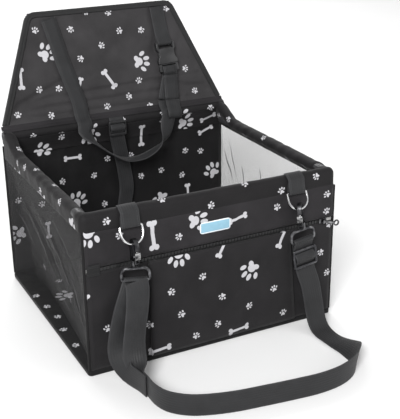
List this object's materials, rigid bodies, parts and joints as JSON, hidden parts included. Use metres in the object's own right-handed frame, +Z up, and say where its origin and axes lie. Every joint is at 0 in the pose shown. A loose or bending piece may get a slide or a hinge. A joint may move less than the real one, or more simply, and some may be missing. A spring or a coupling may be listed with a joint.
{
  "type": "dog car seat",
  "caption": "Fabric dog car seat: an open box on boards with a tube rim, a fold-over back flap, net sides, a pleated zip pocket, and webbing straps with trigger hooks and a side-release buckle.",
  "frame": {"origin": "middle of the underside, on the surface the seat stands on", "axes": "+X to the seat's right as seen from the front, -Y out of the pocket front, +Z up out of the open top"},
  "size_m": [0.4052, 0.6003, 0.4335],
  "materials": {
    "cloth": "black oxford fabric with a pale paw and bone pattern",
    "liner": "plain black lining fabric",
    "net": "black net that lets the light through",
    "webbing": "black ribbed webbing",
    "board": "matte board",
    "black_metal": "satin black",
    "steel": "bright",
    "black_plastic": "satin",
    "patch": "plain pale blue with a white edge"
  },
  "bodies": {
    "seat": {"base_cover": "cloth", "base_board": "board", "front_liner": "liner", "front_board": "board", "front_band": "cloth", "pocket_panel": "cloth", "zip_tape_upper": "webbing", "zip_tape_lower": "webbing", "zip_teeth": "black_plastic", "zip_end_tab": "webbing", "patch": "patch", "back_liner": "cloth", "back_board": "board", "back_cover": "cloth", "left_mesh": "net", "right_mesh": "net", "piping_front_left": "webbing", "piping_front_right": "webbing", "piping_back_left": "webbing", "piping_back_right": "webbing", "rim_sleeve_front": "cloth", "rim_sleeve_left": "cloth", "rim_sleeve_right": "cloth", "rim_sleeve_back": "cloth", "rim_tube_front": "black_plastic", "rim_tube_left": "black_plastic", "rim_tube_right": "black_plastic", "rim_tube_back": "black_plastic", "rim_elbow_left": "black_plastic", "rim_elbow_right": "black_plastic", "left_tab": "webbing", "right_tab": "webbing", "front_strap": "webbing", "leash_strap": "webbing"},
    "back_flap": {"flap_panel": "cloth", "flap_board": "board", "flap_back": "cloth", "flap_binding": "webbing", "headrest_strap": "webbing", "short_strap": "webbing", "buckle_female": "black_plastic"},
    "buckle_release": {"buckle_male": "black_plastic", "buckle_prongs": "black_plastic"},
    "zip_runner": {"zip_slider": "black_metal"},
    "zip_pull": {"zip_puller": "black_metal"},
    "left_ring": {"left_d_ring": "steel"},
    "right_ring": {"right_d_ring": "steel"},
    "left_clip": {"left_hook": "black_metal"},
    "right_clip": {"right_hook": "black_metal"},
    "left_swivel": {"left_eye": "black_metal"},
    "right_swivel": {"right_eye": "black_metal"},
    "left_trigger": {"left_gate": "steel"},
    "right_trigger": {"right_gate": "steel"},
    "strap_adjuster": {"tri_glide": "black_metal"},
    "leash_adjuster": {"leash_slider": "black_plastic"},
    "leash_swing": {"leash_eye": "black_metal"},
    "leash_clip": {"leash_hook": "black_metal"},
    "leash_trigger": {"leash_gate": "steel"}
  },
  "joints": [
    {"name": "flap_fold", "type": "hinge", "parent": "seat", "child": "back_flap", "pos_m": [0, 0.1722, 0.2601], "axis": [1, 0, 0], "range_deg": [0, 100], "deforming": ["headrest_strap"]},
    {"name": "buckle_slide", "type": "slide", "parent": "back_flap", "child": "buckle_release", "axis": [0.0523, -0.3169, -0.947], "range_m": [0, 0.03], "deforming": ["headrest_strap", "buckle_prongs"]},
    {"name": "zip_slide", "type": "slide", "parent": "seat", "child": "zip_runner", "axis": [1, 0, 0], "range_m": [-0.34, 0]},
    {"name": "zip_pull_swing", "type": "hinge", "parent": "zip_runner", "child": "zip_pull", "pos_m": [0.178, -0.1845, 0.16], "axis": [-0.2588, 0, -0.9659], "range_deg": [0, 100]},
    {"name": "left_ring_swing", "type": "hinge", "parent": "seat", "child": "left_ring", "pos_m": [-0.131, -0.1835, 0.2155], "axis": [-1, 0, 0], "range_deg": [0, 100], "deforming": ["front_strap"]},
    {"name": "right_ring_swing", "type": "hinge", "parent": "seat", "child": "right_ring", "pos_m": [0.1285, -0.1835, 0.2155], "axis": [-1, 0, 0], "range_deg": [0, 100], "deforming": ["front_strap"]},
    {"name": "left_clip_swing", "type": "hinge", "parent": "left_ring", "child": "left_clip", "pos_m": [-0.131, -0.19406, 0.19284], "axis": [-1, 0, 0], "range_deg": [0, 60], "deforming": ["front_strap"]},
    {"name": "right_clip_swing", "type": "hinge", "parent": "right_ring", "child": "right_clip", "pos_m": [0.1285, -0.19406, 0.19284], "axis": [-1, 0, 0], "range_deg": [0, 40], "deforming": ["front_strap"]},
    {"name": "left_swivel_turn", "type": "hinge", "parent": "left_clip", "child": "left_swivel", "pos_m": [-0.131, -0.19406, 0.19002], "axis": [0, 0, 1], "range_deg": [-3, 38], "deforming": ["front_strap"]},
    {"name": "right_swivel_turn", "type": "hinge", "parent": "right_clip", "child": "right_swivel", "pos_m": [0.1286, -0.19406, 0.19212], "axis": [-0.1392, 0, 0.9903], "range_deg": [-22, 22], "deforming": ["front_strap"]},
    {"name": "left_gate_swing", "type": "hinge", "parent": "left_clip", "child": "left_trigger", "pos_m": [-0.131, -0.20056, 0.17052], "axis": [-1, 0, 0], "range_deg": [0, 25], "stiffness_Nm_per_rad": 0.02, "springref_deg": -8.59},
    {"name": "right_gate_swing", "type": "hinge", "parent": "right_clip", "child": "right_trigger", "pos_m": [0.1272, -0.19906, 0.17223], "axis": [-0.7616, 0.6391, -0.107], "range_deg": [0, 25], "stiffness_Nm_per_rad": 0.02, "springref_deg": -8.59},
    {"name": "adjuster_slide", "type": "slide", "parent": "seat", "child": "strap_adjuster", "axis": [-0.1392, 0, 0.9903], "range_m": [-0.03, 0.004], "deforming": ["front_strap"]},
    {"name": "leash_adjuster_slide", "type": "slide", "parent": "seat", "child": "leash_adjuster", "axis": [0, 0, 1], "range_m": [-0.015, 0], "deforming": ["leash_strap"]},
    {"name": "leash_end_swing", "type": "hinge", "parent": "seat", "child": "leash_swing", "pos_m": [0.0015, 0.1668, 0.088], "axis": [-1, 0, 0], "range_deg": [0, 80], "deforming": ["leash_strap"]},
    {"name": "leash_clip_turn", "type": "hinge", "parent": "leash_swing", "child": "leash_clip", "pos_m": [0.0015, 0.1668, 0.0455], "axis": [0, 0, 1], "range_deg": [-12, 24]},
    {"name": "leash_gate_swing", "type": "hinge", "parent": "leash_clip", "child": "leash_trigger", "pos_m": [-0.00402, 0.1668, 0.06203], "axis": [0, 1, 0], "range_deg": [0, 25], "stiffness_Nm_per_rad": 0.02, "springref_deg": -8.59}
  ]
}
